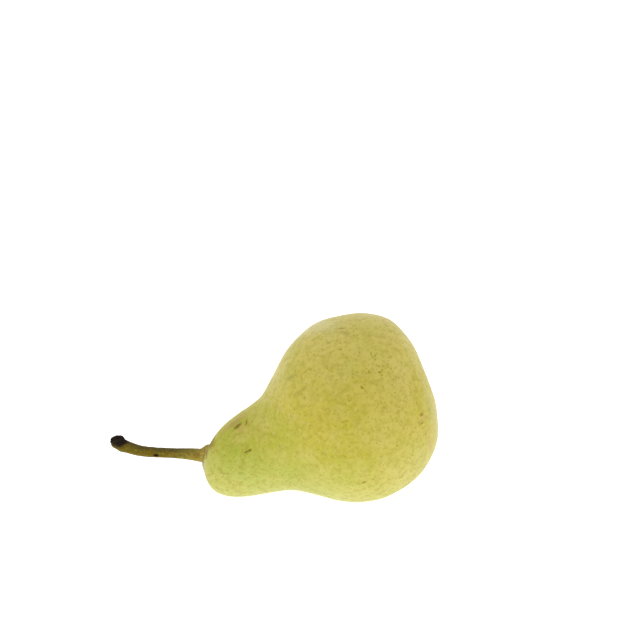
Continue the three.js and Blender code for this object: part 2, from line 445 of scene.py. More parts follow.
def roughen(tree, geometry, size, detail, height):
    """Moves a surface in and out along its normal, by noise of a size in millimetres."""
    noise = add_node(
        tree, "ShaderNodeTexNoise", {"Scale": scale_for(size), "Detail": detail, "Roughness": 0.5}
    )
    around = add_node(tree, "ShaderNodeMath", {0: noise.outputs["Fac"], 1: 0.5}, operation="SUBTRACT")
    reach = add_node(tree, "ShaderNodeMath", {0: around, 1: height}, operation="MULTIPLY")
    offset = add_node(
        tree,
        "ShaderNodeVectorMath",
        {0: add_node(tree, "GeometryNodeInputNormal"), "Scale": reach},
        operation="SCALE",
    )
    return add_node(tree, "GeometryNodeSetPosition", {"Geometry": geometry, "Offset": offset})


def crumple(tree, geometry, size, reach):
    """Pushes thin dried parts about, both faces together, by noise of a size in millimetres."""
    noise = add_node(tree, "ShaderNodeTexNoise", {"Scale": scale_for(size), "Detail": 2.0})
    around = add_node(
        tree,
        "ShaderNodeVectorMath",
        {0: noise.outputs["Color"], 1: (0.5, 0.5, 0.5)},
        operation="SUBTRACT",
    )
    offset = add_node(tree, "ShaderNodeVectorMath", {0: around, "Scale": 2 * reach}, operation="SCALE")
    return add_node(tree, "GeometryNodeSetPosition", {"Geometry": geometry, "Offset": offset})


def fruit_tree(material):
    """The fruit's skin: rings on the core line, each facing its own way, pressed flat below."""
    tree, given = new_shape_tree(
        "fruit_skin",
        {
            "Object": ("Outline", "Core line"),
            "Int": ("Sides", "Rings"),
            "Float": ("Length", "Unevenness"),
        },
    )
    lathe = start_lathe(tree, given)
    half_turn = add_node(
        tree,
        "ShaderNodeMapRange",
        {"Value": lathe["distance"], "From Max": given["Length"], "To Max": math.pi},
    )
    middle = add_node(tree, "ShaderNodeMath", {0: half_turn}, operation="SINE")
    near_basin = add_node(
        tree,
        "ShaderNodeMapRange",
        {"Value": lathe["distance"], "From Max": BASIN_REACH * MM, "To Min": 1.0, "To Max": 0.0},
        interpolation_type="SMOOTHSTEP",
    )
    twist = 3 * THREE_SIDED_TWIST  # of the wave's phase, which passes three times round
    swell = add_waves(
        tree,
        lathe,
        [
            (0.006, 2.0, -math.pi / 2, 0.0, middle),
            (0.007, 3.0, math.pi - twist * BELLY_AT, twist / MM, middle),
            (0.015, 5.0, 0.4, 0.0, near_basin),
        ],
    )
    radius = add_node(tree, "ShaderNodeMath", {0: lathe["radius"], 1: swell}, operation="MULTIPLY")

    near_stalk = add_node(
        tree,
        "ShaderNodeMapRange",
        {
            "Value": lathe["distance"],
            "From Min": LOBE_FROM * MM,
            "From Max": given["Length"],
            "To Max": LOBE_SLOPE,
        },
        interpolation_type="SMOOTHSTEP",
    )
    lobe = add_node(
        tree,
        "ShaderNodeVectorMath",
        {0: lathe["place"], 1: (math.cos(LOBE_ANGLE), math.sin(LOBE_ANGLE), 0.0)},
        operation="DOT_PRODUCT",
    )
    slope = add_node(
        tree, "ShaderNodeMath", {0: near_stalk, 1: lobe.outputs["Value"]}, operation="MULTIPLY"
    )
    distance = add_node(
        tree,
        "ShaderNodeMath",
        {0: slope, 1: lathe["radius"], 2: lathe["distance"]},
        operation="MULTIPLY_ADD",
    )

    facing = BLOSSOM_FACING
    for begin, end, way in ((0, BELLY_AT, BELLY_FACING), (*NECK_TURN, NECK_FACING)):
        blend = add_node(
            tree,
            "ShaderNodeMapRange",
            {"Value": distance, "From Min": begin * MM, "From Max": end * MM},
            interpolation_type="SMOOTHSTEP",
        )
        facing = add_node(tree, "ShaderNodeMix", {0: blend, 4: facing, 5: way}, data_type="VECTOR")
    facing = add_node(tree, "ShaderNodeVectorMath", {0: facing.outputs[1]}, operation="NORMALIZE")
    core = add_node(
        tree,
        "GeometryNodeSampleCurve",
        {"Curves": smooth_guide(tree, given["Core line"]), "Length": distance},
        mode="LENGTH",
    )
    target = place_ring(tree, lathe, core.outputs["Position"], facing, radius)
    along = add_node(tree, "ShaderNodeMath", {0: distance, 1: given["Length"]}, operation="DIVIDE")
    stored = [("along", along, "FLOAT"), ("outline_share", lathe["share"], "FLOAT")]
    closed = lay_points(tree, lathe["tube"], stored, target)
    dented = roughen(tree, closed, DENT_SIZE, detail=2.0, height=given["Unevenness"])
    pressed = add_node(tree, "ShaderNodeVectorMath", {0: lathe["place"], 1: LOWEST}, operation="MAXIMUM")
    rested = add_node(tree, "GeometryNodeSetPosition", {"Geometry": dented, "Position": pressed})
    end_tree(tree, rested, material)
    return tree


# ---------- the stalk ----------

# It leaves the dimple backwards, turns level and bends up towards its knob: x, y and rise over the
# belly's core, in millimetres, after the place where it leaves the fruit.
STALK_LINE = [
    (-57.4, 8.6, -21.0),
    (-64.7, 9.5, -21.0),
    (-71.9, 10.3, -21.0),
    (-76.3, 10.7, -20.5),
    (-80.4, 10.8, -19.2),
    (-82.0, 10.7, -18.5),
    (-83.1, 10.6, -17.5),
    (-83.6, 10.5, -16.4),
    (-83.7, 10.3, -15.4),
]

FOOT_RIBS = (12, 5)  # where the foot's ribs begin and are full, in millimetres from the root's end
KNOB = (0.88, 0.97)  # where the knob begins and is full, as shares of the stalk's length
CRACK_SIZE = 1.43  # of the cracks in the knob and the lumps in the bark, in millimetres
BARK_ROUGHNESS = 0.2  # height of the lumps in the bark, in millimetres
FIBRE_STRETCH = 10.7  # how many times as long as wide the bark's fibres are

# Lumps on the stalk: distance along it, half length and half width in millimetres, turn from the
# front up in degrees, and height in millimetres. The last one is the scar of a bud.
STALK_LUMPS = [
    (8.2, 4.0, 3.2, 75, 1.9),
    (7.6, 3.0, 3.0, 230, 0.8),
    (12.0, 3.0, 2.0, 200, 0.3),
    (29.0, 2.2, 2.0, 80, 0.2),
    (35.0, 2.6, 2.0, 60, 0.15),
    (27.2, 1.9, 0.85, -13, 0.3),
]


def stalk_outline(stalk):
    """The stalk's half outline in millimetres: a fleshy foot, a slim shaft and a dried knob."""
    slim, length, root = stalk.radius / MM, stalk.length / MM, stalk.root_depth / MM
    return [
        (0, 0),
        (0, 2),
        (root, 2.9),
        (root + 3.5, slim + 0.85),
        (root + 6.5, slim + 0.55),
        (root + 9.5, slim + 0.35),
        (18.5, slim + 0.1),
        (22, slim),
        (27, slim),
        (32, slim + 0.1),
        (35, slim + 0.2),
        (38, slim + 0.35),
        (40.5, slim + 0.6),
        (length - 1.1, slim + 0.8),
        (length - 0.2, slim + 0.55),
        (length, slim - 0.2),
        (length - 0.4, 0),
    ]


def stalk_line(stalk, fruit):
    """The stalk's middle line in millimetres, from its root inside the fruit to its knob."""
    rise = Vector((0, 0, fruit.belly_height / MM))
    before, leaves = (Vector(point) + rise for point in CORE_LINE[-2:])
    sunk = (fruit.dimple_depth + stalk.root_depth) / MM
    root = leaves + (before - leaves).normalized() * sunk
    return [root, leaves, *(Vector(point) + rise for point in STALK_LINE)]


def add_lumps(tree, lathe, slim, radius):
    """A radius that lumps make larger, and how much of the last lump is there, from 0 to 1."""
    for at, half_length, half_width, turn, height in STALK_LUMPS:
        theta = math.radians(turn)
        along_lump = add_node(
            tree,
            "ShaderNodeMath",
            {0: lathe["distance"], 1: 1 / (half_length * MM), 2: -at / half_length},
            operation="MULTIPLY_ADD",
        )
        aside = add_node(
            tree,
            "ShaderNodeVectorMath",
            {0: lathe["place"], 1: (math.cos(theta), math.sin(theta), 0.0)},
            operation="SUBTRACT",
        )
        across = add_node(tree, "ShaderNodeMath", {0: slim, 1: half_width * MM}, operation="DIVIDE")
        ring_share = add_node(tree, "ShaderNodeCombineXYZ", {"X": across, "Y": across})
        along_share = add_node(tree, "ShaderNodeCombineXYZ", {"Z": along_lump})
        offset = add_node(
            tree,
            "ShaderNodeVectorMath",
            {0: aside, 1: ring_share, 2: along_share},
            operation="MULTIPLY_ADD",
        )
        reach = add_node(tree, "ShaderNodeVectorMath", {0: offset}, operation="LENGTH")
        weight = add_node(
            tree,
            "ShaderNodeMapRange",
            {"Value": reach.outputs["Value"], "To Min": 1.0, "To Max": 0.0},
            interpolation_type="SMOOTHSTEP",
        )
        radius = add_node(
            tree, "ShaderNodeMath", {0: weight, 1: height * MM, 2: radius}, operation="MULTIPLY_ADD"
        )
    return radius, weight


def stalk_tree(material):
    """The stalk: rings square to its line, with soft ribs, lumps and a cracked knob."""
    tree, given = new_shape_tree(
        "stalk_bark",
        {
            "Object": ("Outline", "Line"),
            "Int": ("Sides", "Rings"),
            "Float": ("Radius", "Length", "Knob roughness"),
        },
    )
    lathe = start_lathe(tree, given)
    begin, full = FOOT_RIBS
    near_foot = add_node(
        tree,
        "ShaderNodeMapRange",
        {"Value": lathe["distance"], "From Min": begin * MM, "From Max": full * MM},
    )
    swell = add_waves(
        tree,
        lathe,
        [
            (0.03, 5.0, 0.6, 30.0, 1.0),
            (0.04, 2.0, 1.1, 45.0, 1.0),
            (0.015, 11.0, 2.0, 20.0, 1.0),
            (0.1, 3.0, 0.4, 60.0, near_foot),
            (0.07, 7.0, 1.3, -40.0, near_foot),
        ],
    )
    radius = add_node(tree, "ShaderNodeMath", {0: lathe["radius"], 1: swell}, operation="MULTIPLY")
    radius, on_bud = add_lumps(tree, lathe, given["Radius"], radius)
    line = add_node(
        tree,
        "GeometryNodeSampleCurve",
        {"Curves": smooth_guide(tree, given["Line"]), "Length": lathe["distance"]},
        mode="LENGTH",
    )
    target = place_ring(tree, lathe, line.outputs["Position"], line.outputs["Tangent"], radius)
    stretch = add_node(
        tree, "ShaderNodeMath", {0: given["Radius"], 1: FIBRE_STRETCH}, operation="MULTIPLY"
    )
    lengthwise = add_node(tree, "ShaderNodeMath", {0: lathe["distance"], 1: stretch}, operation="DIVIDE")
    around = {axis: lathe["ring"].outputs[axis] for axis in ("X", "Y")}
    grain = add_node(tree, "ShaderNodeCombineXYZ", {**around, "Z": lengthwise})
    along = add_node(
        tree, "ShaderNodeMath", {0: lathe["distance"], 1: given["Length"]}, operation="DIVIDE"
    )
    stored = [
        ("along", along, "FLOAT"),
        ("bud", on_bud, "FLOAT"),
        ("grain", grain, "FLOAT_VECTOR"),
    ]
    closed = lay_points(tree, lathe["tube"], stored, target)
    begin, full = KNOB
    cracked = add_node(
        tree,
        "ShaderNodeMapRange",
        {
            "Value": add_node(tree, "GeometryNodeInputNamedAttribute", {"Name": "along"}),
            "From Min": begin,
            "From Max": full,
            "To Min": BARK_ROUGHNESS * MM,
            "To Max": given["Knob roughness"],
        },
    )
    rough = roughen(tree, closed, CRACK_SIZE, detail=3.0, height=cracked)
    end_tree(tree, rough, material)
    return tree


# ---------- the calyx ----------

# Sizes and places of the dried parts, in millimetres
RING_HEIGHT = 0.6  # of the rings that they stand on, over the basin's floor
RIM_INSET = 0.6  # of the sepals' ring, in from the cup's side
BLADE_FOLD = 0.65  # how far a blade's edges stand over its middle, at its foot
BLADE_THICKNESS = (0.5, 0.1)  # at its foot and at its tip
SEPAL_CURL = 1.0  # how far a sepal's tip bends back
STUB_LENGTH, STUB_WIDTH, STUB_CURL, STUB_RING = 2.2, 1.3, -0.7, 2.1
THREAD_RADIUS, ANTHER_RADIUS, STAMEN_RING = 0.12, 0.28, 1.3
THREAD_BEND, THREAD_END = (0.0, 0.1, 1.4), (0.0, 0.9, 2.2)  # of a stamen that stands on the origin
ANTHER_PLACE = (0.0, 0.95, 2.25)
CRUMPLES = [(2.38, 0.9), (0.667, 0.35)]  # the size and the reach of the folds in the dried tissue

# How they are shaped and how they stand
BLADE_STEPS = (9, 17)  # points across a blade and along it
BLADE_POINT = 0.7  # power of its taper: a lower one makes a blunter blade
BLADE_BEND = 2.2  # power of its curl: a higher one bends it nearer to the tip
THREAD_STEPS = 6  # along a stamen's thread, and round it
ANTHER_STRETCH = (0.8, 1.3, 0.8)
SPIN = (-0.25, 0.25)  # how far each part may be turned aside, in radians
GROWTH = (0.75, 1.1)  # how large each part may have grown, as a share of its full size
CUP_TILT = 0.05  # how far the cup turns from the blossom end's way to the belly's, as a share


def cup_outline(calyx):
    """The calyx's cup in millimetres, from its sunk base over the rim to the hollow's floor."""
    wide = calyx.cup_radius / MM
    return [
        (-1.8, 0),
        (-1.8, wide - 0.6),
        (0.3, wide),
        (1.3, wide - 0.1),
        (1.5, wide - 0.5),
        (1.1, wide - 0.9),
        (0.8, wide - 1.2),
        (0.7, 0),
    ]


def dried_blade(tree, length, width, curl):
    """A withered blade that lies along +Y: pointed, folded along its middle and curled back."""
    wide_steps, long_steps = BLADE_STEPS
    block = add_node(
        tree,
        "GeometryNodeMeshCube",
        {"Size": (1.0, 1.0, 1.0), "Vertices X": wide_steps, "Vertices Y": long_steps, "Vertices Z": 2},
    )
    place = add_node(tree, "GeometryNodeInputPosition")
    at = add_node(tree, "ShaderNodeSeparateXYZ", {"Vector": place})
    share = add_node(tree, "ShaderNodeMath", {0: at.outputs["Y"], 1: 0.5}, operation="ADD")
    left = add_node(tree, "ShaderNodeMath", {0: 1.0, 1: share}, operation="SUBTRACT", use_clamp=True)
    taper = add_node(tree, "ShaderNodeMath", {0: left, 1: BLADE_POINT}, operation="POWER")
    wide = add_node(tree, "ShaderNodeMath", {0: taper, 1: width}, operation="MULTIPLY")
    across = add_node(tree, "ShaderNodeMath", {0: at.outputs["X"], 1: wide}, operation="MULTIPLY")
    forward = add_node(tree, "ShaderNodeMath", {0: share, 1: length}, operation="MULTIPLY")
    # the block's sides are at half its width, so the square of X is a quarter there
    fold = add_node(tree, "ShaderNodeMath", {0: at.outputs["X"], 1: 2.0}, operation="POWER")
    depth = add_node(tree, "ShaderNodeMath", {0: taper, 1: 4 * BLADE_FOLD * MM}, operation="MULTIPLY")
    folded = add_node(tree, "ShaderNodeMath", {0: fold, 1: depth}, operation="MULTIPLY")
    back = add_node(tree, "ShaderNodeMath", {0: share, 1: BLADE_BEND}, operation="POWER")
    curled = add_node(tree, "ShaderNodeMath", {0: back, 1: -curl, 2: folded}, operation="MULTIPLY_ADD")
    foot, tip = BLADE_THICKNESS
    thin = add_node(
        tree, "ShaderNodeMath", {0: taper, 1: (foot - tip) * MM, 2: tip * MM}, operation="MULTIPLY_ADD"
    )
    height = add_node(
        tree, "ShaderNodeMath", {0: at.outputs["Z"], 1: thin, 2: curled}, operation="MULTIPLY_ADD"
    )
    shaped = add_node(tree, "ShaderNodeCombineXYZ", {"X": across, "Y": forward, "Z": height})
    return lay_points(tree, block, [("tip", share, "FLOAT")], shaped)


def stamen(tree):
    """One dried stamen standing on the origin: a bent pale thread, its paleness partly a painted glint,
    with a shrunken anther.
    """
    thread = add_node(
        tree,
        "GeometryNodeCurveQuadraticBezier",
        {
            "Resolution": THREAD_STEPS,
            "Start": (0.0, 0.0, 0.0),
            "Middle": Vector(THREAD_BEND) * MM,
            "End": Vector(THREAD_END) * MM,
        },
    )
    round_section = add_node(
        tree,
        "GeometryNodeCurvePrimitiveCircle",
        {"Resolution": THREAD_STEPS, "Radius": THREAD_RADIUS * MM},
    )
    tube = add_node(
        tree,
        "GeometryNodeCurveToMesh",
        {"Curve": thread, "Profile Curve": round_section, "Fill Caps": True},
    )
    anther = add_node(
        tree, "GeometryNodeMeshIcoSphere", {"Radius": ANTHER_RADIUS * MM, "Subdivisions": 2}
    )
    moved = add_node(
        tree,
        "GeometryNodeTransform",
        {"Geometry": anther, "Translation": Vector(ANTHER_PLACE) * MM, "Scale": ANTHER_STRETCH},
    )
    joined = add_node(tree, "GeometryNodeJoinGeometry")
    for part, paleness in ((tube, 1.0), (moved, 0.35)):
        pale = add_node(
            tree,
            "GeometryNodeStoreNamedAttribute",
            {"Geometry": part, "Name": "tip", "Value": paleness},
            data_type="FLOAT",
            domain="POINT",
        )
        tree.links.new(pale.outputs["Geometry"], joined.inputs["Geometry"])
    return joined


def ring_of(tree, given, count, radius, piece, lean, seed):
    """Copies of a piece round a ring, each facing out and leaning by its own amount."""
    ring = add_node(
        tree, "GeometryNodeMeshCircle", {"Vertices": count, "Radius": radius}, fill_type="NONE"
    )
    raised = add_node(
        tree, "GeometryNodeTransform", {"Geometry": ring, "Translation": (0, 0, RING_HEIGHT * MM)}
    )
    index = add_node(tree, "GeometryNodeInputIndex")
    step = add_node(tree, "ShaderNodeMath", {0: 2 * math.pi, 1: count}, operation="DIVIDE")
    turned = add_node(
        tree, "ShaderNodeMath", {0: index, 1: step, 2: -math.pi / 2}, operation="MULTIPLY_ADD"
    )
    own = []
    for i, (low, high) in enumerate((lean, SPIN, GROWTH)):
        own_seed = add_node(tree, "ShaderNodeMath", {0: given["Seed"], 1: seed + i}, operation="ADD")
        own.append(
            add_node(
                tree, "FunctionNodeRandomValue", {2: low, 3: high, "Seed": own_seed}, data_type="FLOAT"
            ).outputs[1]
        )
    spun = add_node(tree, "ShaderNodeMath", {0: turned, 1: own[1]}, operation="ADD")
    rotation = add_node(tree, "ShaderNodeCombineXYZ", {"X": own[0], "Z": spun})
    return add_node(
        tree,
        "GeometryNodeInstanceOnPoints",
        {"Points": raised, "Instance": piece, "Rotation": rotation, "Scale": own[2]},
    )


def calyx_tree(material):
    """The calyx, standing on the basin's floor at the origin with +Z out of the fruit."""
    tree, given = new_shape_tree(
        "calyx_dried",
        {
            "Object": ("Outline",),
            "Int": ("Sides", "Rings", "Sepals", "Petal stubs", "Stamens", "Seed"),
            "Float": ("Sepal length", "Sepal width", "Cup radius"),
        },
    )
    lathe = start_lathe(tree, given)
    sized = add_node(
        tree, "ShaderNodeVectorMath", {0: lathe["place"], "Scale": lathe["radius"]}, operation="SCALE"
    )
    level = add_node(tree, "ShaderNodeVectorMath", {0: sized, 1: (1.0, 1.0, 0.0)}, operation="MULTIPLY")
    height = add_node(tree, "ShaderNodeCombineXYZ", {"Z": lathe["distance"]})
    target = add_node(tree, "ShaderNodeVectorMath", {0: level, 1: height}, operation="ADD")
    cup = lay_points(tree, lathe["tube"], [("tip", 0.0, "FLOAT")], target)
    joined = add_node(tree, "GeometryNodeJoinGeometry", {"Geometry": cup})
    sepal = dried_blade(tree, given["Sepal length"], given["Sepal width"], SEPAL_CURL * MM)
    stub = dried_blade(tree, STUB_LENGTH * MM, STUB_WIDTH * MM, STUB_CURL * MM)
    rim = add_node(
        tree, "ShaderNodeMath", {0: given["Cup radius"], 1: RIM_INSET * MM}, operation="SUBTRACT"
    )
    for count, radius, piece, lean, seed in (
        (given["Sepals"], rim, sepal, (45, 100), 1),
        (given["Petal stubs"], STUB_RING * MM, stub, (55, 120), 7),
        (given["Stamens"], STAMEN_RING * MM, stamen(tree), (-35, 20), 13),
    ):
        lean = [math.radians(angle) for angle in lean]
        ring = ring_of(tree, given, count, radius, piece, lean, seed)
        tree.links.new(ring.outputs[0], joined.inputs["Geometry"])
    dried = add_node(tree, "GeometryNodeRealizeInstances", {"Geometry": joined})
    for size, reach in CRUMPLES:
        dried = crumple(tree, dried, size, reach * MM)
    end_tree(tree, dried, material)
    return tree


# ---------- materials ----------

# Sizes of the skin's patterns, in millimetres
BLOTCH_SIZE = 22.2  # of wide patches, greener and duller
RUSSET_SIZE = 2.38  # of the ragged russet at both ends
PEEL_SIZE = 1.25  # of the skin's fine unevenness
WANDER_SIZE, WANDER = 1.11, 0.8  # of the bends in a mark's edge, and how far it strays

# Lenticels: spacing, smallest radius and largest radius of each kind, in millimetres
HALOS = (1.9, 0.3, 0.9)
FINE_LENTICELS = (1.1, 0.25, 0.6)
COARSE_LENTICELS = (2.6, 0.0, 0.6)
LENTICEL_EDGE = 0.8  # how much of the largest radius is soft

# Sizes of the patterns on the stalk and the calyx, in millimetres
FIBRE_WIDTH = 0.283  # of the bark's fibres
PATCH_SIZE = 2.2  # of its warm and green patches
# the dark flecks are the bark's own; the pale ones are painted small highlights
FLECK_AND_GLINT_SIZE = 0.9  # of its dark and pale flecks
WITHER_SIZE = 0.91  # of the dried tissue's wrinkles and patches

MARK_EDGE = (1.4, 0.5)  # where a mark fades out and where it is full, as shares of its half width

# How far the neck's green reaches towards the belly, in lengths of the fruit
GREEN_PATCHINESS = 0.25  # further, where the wide patches are at their greenest
GREEN_BELOW = 8.0  # further, for each metre lower

# Marks on the skin, each from one place to another with a width, in millimetres
SCARS = [
    ((-4.0, -6.8, 64.9), (-2.0, -7.4, 65.3), 0.75),
    ((7.0, -18.9, 60.9), (7.2, -19.9, 60.1), 0.52),
    ((8.4, -19.6, 60.2), (8.6, -20.1, 59.7), 0.42),
    ((9.8, -23.8, 55.6), (10.5, -23.8, 55.4), 0.71),
    ((9.4, -22.5, 57.2), (10.0, -22.6, 57.0), 0.48),
    ((11.6, -22.4, 56.8), (12.0, -22.5, 56.4), 0.56),
    ((10.6, -24.4, 54.7), (10.9, -24.5, 54.5), 0.49),
    ((6.4, -24.1, 55.9), (6.6, -24.4, 55.5), 0.67),
    ((3.7, -27.4, 51.4), (4.3, -27.6, 51.0), 0.78),
    ((-3.8, -16.9, 60.9), (-2.9, -16.8, 61.2), 0.42),
    ((24.2, -24.4, 40.1), (24.8, -23.7, 40.0), 1.3),
    ((24.1, -24.9, 36.7), (25.3, -23.6, 37.2), 0.6),
    ((28.2, -10.5, 18.4), (28.3, -10.2, 17.9), 0.7),
    ((4.3, -28.4, 16.3), (5.5, -28.7, 17.2), 0.95),
]
NICKS = [
    ((-38.6, -7.9, 29.4), (-40.0, -8.4, 28.2), 1.5),
    ((-36.0, -7.7, 31.4), (-36.4, -9.7, 29.8), 0.6),
    ((-36.5, -15.2, 21.9), (-35.7, -15.3, 22.3), 0.8),
    ((-35.3, -15.4, 22.5), (-34.6, -15.5, 23.0), 0.8),
]
SMUDGES = [
    ((-17.3, -18.7, 52.3), (-14.3, -19.2, 54.7), 0.56),
    ((-16.9, -22.4, 48.2), (-15.1, -23.0, 49.7), 1.13),
    ((-18.9, -21.4, 46.3), (-16.9, -22.6, 47.9), 1.06),
    ((-21.8, -14.8, 49.3), (-19.7, -16.6, 51.1), 1.76),
    ((-2.6, -9.4, 64.6), (-0.9, -11.1, 64.5), 1.76),
    ((-45.5, -13.6, 13.2), (-41.9, -14.9, 13.4), 0.85),
    ((-39.3, -15.5, 13.8), (-37.5, -15.7, 14.1), 1.13),
    ((-36.3, -15.5, 12.3), (-37.4, -15.0, 10.5), 0.85),
    ((-8.1, -12.3, 62.0), (-7.4, -13.2, 61.8), 1.06),
    ((27.1, -20.3, 39.9), (27.5, -18.8, 40.1), 1.3),
    ((26.1, -22.3, 33.0), (26.2, -22.1, 29.6), 0.8),
    ((-42.0, -6.4, 28.0), (-38.5, -5.6, 30.6), 2.6),
    ((-28.9, -15.4, 31.3), (-28.5, -15.6, 31.5), 0.7),
]
BLUSHES = [
    ((-38.5, -9.9, 28.1), (-36.0, -9.4, 30.2), 2.47),
    ((-44.5, -6.5, 26.0), (-37.0, -4.0, 32.0), 4.5),
    ((27.3, -19.9, 28.8), (28.2, -14.6, 22.1), 2.12),
    ((24.8, -24.0, 38.4), (25.9, -22.8, 38.4), 2.6),
]
# Russet on the fleshy lip over the stalk, given as the marks are; the last one is painted shade at the
# lip's edge
LIPS_AND_SHADE = [
    ((-52.0, 4.0, 12.0), (-51.0, -2.5, 16.5), 8.5),
    ((-50.5, 1.0, 18.0), (-49.0, -6.5, 21.5), 6.5),
    ((-51.5, 8.5, 14.5), (-49.5, 5.0, 19.5), 5.0),
    ((-50.1, -5.2, 19.2), (-50.5, -7.4, 17.6), 3.2),
]
# A painted highlight: a soft whitish patch on top of the belly, given as the marks are
PAINTED_HIGHLIGHTS = [
    ((-14.5, 4.0, 60.5), (-8.5, -3.0, 64.2), 10.0),
]

# Wide patches of the ground, given as the marks are
GREEN_PATCHES = [
    ((-3.0, -26.0, 24.0), (-13.0, -20.0, 16.0), 24.0),
    ((-31.0, -13.0, 32.5), (-22.0, -22.0, 30.0), 16.0),
]
PALE_PATCHES = [
    ((12.0, -27.0, 38.0), (18.0, -22.0, 22.0), 20.0),
    ((-40.2, -11.2, 26.0), (-36.3, -12.2, 27.6), 6.0),
    ((-33.2, -8.5, 33.0), (-30.9, -12.6, 32.2), 7.0),
    ((16.3, -19.5, 57.0), (19.0, -27.0, 43.0), 9.0),
]


def new_material(name, inputs):
    """A material with a Principled surface, and the place that every pattern starts from."""
    material = bpy.data.materials.new(name)
    material.use_nodes = True
    tree = material.node_tree
    tree.nodes.clear()
    surface = add_node(tree, "ShaderNodeBsdfPrincipled", inputs)
    add_node(tree, "ShaderNodeOutputMaterial", {"Surface": surface})
    place = add_node(tree, "ShaderNodeTexCoord").outputs["Object"]
    return material, tree, surface, place


def add_layers(tree, ground, layers, **settings):
    """The ground under layers, each as (value, where it starts, where it is full, share, colour)."""
    for value, start, full, share, colour in layers:
        amount = add_node(
            tree,
            "ShaderNodeMapRange",
            {"Value": value, "From Min": start, "From Max": full, "To Max": share},
            **settings,
        )
        mixed = add_node(tree, "ShaderNodeMix", {0: amount, 6: ground, 7: list(colour)}, data_type="RGBA")
        ground = mixed.outputs[2]
    return ground


def finish_surface(tree, surface, ground, relief, strength, depth):
    """Gives a surface its colour, and its relief to a depth in millimetres."""
    bump = add_node(
        tree, "ShaderNodeBump", {"Height": relief, "Strength": strength, "Distance": depth * MM}
    )
    tree.links.new(ground, surface.inputs["Base Color"])
    tree.links.new(bump.outputs["Normal"], surface.inputs["Normal"])


def mark_mask(tree, place, marks):
    """Where a list of marks is, from 0 to 1, each soft at its edge."""
    mask = 0.0
    faded, full = MARK_EDGE
    for begin, end, width in marks:
        begin, end = Vector(begin) * MM, Vector(end) * MM
        half_length = (end - begin).length / 2 + width * MM / 2
        half_width = width * MM / 2
        turn = (end - begin).to_track_quat("X", "Z").to_euler()
        on_mark = add_node(
            tree,
            "ShaderNodeMapping",
            {
                "Vector": place,
                "Location": (begin + end) / 2,
                "Rotation": turn,
                "Scale": (half_length, half_width, half_width),
            },
            vector_type="TEXTURE",
        )
        reach = add_node(tree, "ShaderNodeVectorMath", {0: on_mark}, operation="LENGTH")
        spot = add_node(
            tree,
            "ShaderNodeMapRange",
            {"Value": reach.outputs["Value"], "From Min": faded, "From Max": full},
            interpolation_type="SMOOTHSTEP",
        )
        mask = add_node(tree, "ShaderNodeMath", {0: mask, 1: spot}, operation="MAXIMUM")
    return mask


def lenticel_mask(tree, place, spacing, smallest, largest):
    """Soft round pores at random, from 0 to 1, by their spacing and radii in millimetres."""
    cells = add_node(tree, "ShaderNodeTexVoronoi", {"Vector": place, "Scale": scale_for(spacing)})
    size = add_node(
        tree,
        "ShaderNodeMapRange",
        {"Value": cells.outputs["Color"], "To Min": smallest / spacing, "To Max": largest / spacing},
    )
    inside = add_node(
        tree, "ShaderNodeMath", {0: size, 1: cells.outputs["Distance"]}, operation="SUBTRACT"
    )
    return add_node(
        tree,
        "ShaderNodeMapRange",
        {"Value": inside, "From Max": LENTICEL_EDGE * largest / spacing},
        interpolation_type="SMOOTHSTEP",
    )


def ripe_ground(tree, fruit, place, along, blotch):
    """Yellow with wide patches, greener towards the neck and underneath, paler by a painted sheen on top
    and by painted floor light below, and mottled all over.
    """
    patchy_along = add_node(
        tree, "ShaderNodeMath", {0: blotch, 1: GREEN_PATCHINESS, 2: along}, operation="MULTIPLY_ADD"
    )
    height = add_node(tree, "ShaderNodeSeparateXYZ", {"Vector": place}).outputs["Z"]
    greenness = add_node(
        tree, "ShaderNodeMath", {0: height, 1: -GREEN_BELOW, 2: patchy_along}, operation="MULTIPLY_ADD"
    )
    # the neck's green, and yellow again towards the stalk
    neck = [
        (greenness, 0.43, 0.76, 0.9, fruit.unripe),
        (greenness, 0.79, 0.93, 0.25, fruit.ripe),
    ]
    ground = add_layers(tree, list(fruit.ripe), neck, interpolation_type="SMOOTHSTEP")
    # wide patches, then by height in metres a warmer top and a greener underside, both paler: tints with
    # a painted sheen on top and painted light from the floor below
    patches = [
        (mark_mask(tree, place, GREEN_PATCHES), 0, 1, 0.4, fruit.unripe),
        (mark_mask(tree, place, PALE_PATCHES), 0, 1, 0.35, fruit.warm_pale_and_sheen),
        (height, 0.04, 0.066, 0.5, fruit.warm_pale_and_sheen),
        (height, 0.028, 0.0, 0.65, fruit.shaded),
    ]
    ground = add_layers(tree, ground, patches)
    # mottling, each kind by its size in millimetres and then as a layer
    for size, *layer in (
        (13.3, 0.45, 0.72, 0.3, fruit.unripe),
        (6.25, 0.45, 0.75, 0.5, fruit.pale),
        (3.33, 0.48, 0.75, 0.2, fruit.lenticel),
        (1.92, 0.46, 0.72, 0.4, fruit.lenticel),
        (1.43, 0.5, 0.75, 0.42, fruit.pale),
    ):
        mottle = add_node(
            tree, "ShaderNodeTexNoise", {"Vector": place, "Scale": scale_for(size), "Detail": 3.0}
        )
        ground = add_layers(tree, ground, [(mottle, *layer)])
    return ground


def wandering(tree, place):
    """The place that a mark is read at, which strays so that the mark's edge is ragged."""
    stray = add_node(
        tree, "ShaderNodeTexNoise", {"Vector": place, "Scale": scale_for(WANDER_SIZE), "Detail": 2.0}
    )
    moved = add_node(
        tree,
        "ShaderNodeVectorMath",
        {0: stray.outputs["Color"], 1: (WANDER * MM,) * 3, 2: place},
        operation="MULTIPLY_ADD",
    )
    return add_node(
        tree, "ShaderNodeVectorMath", {0: moved, 1: (WANDER / 2 * MM,) * 3}, operation="SUBTRACT"
    )


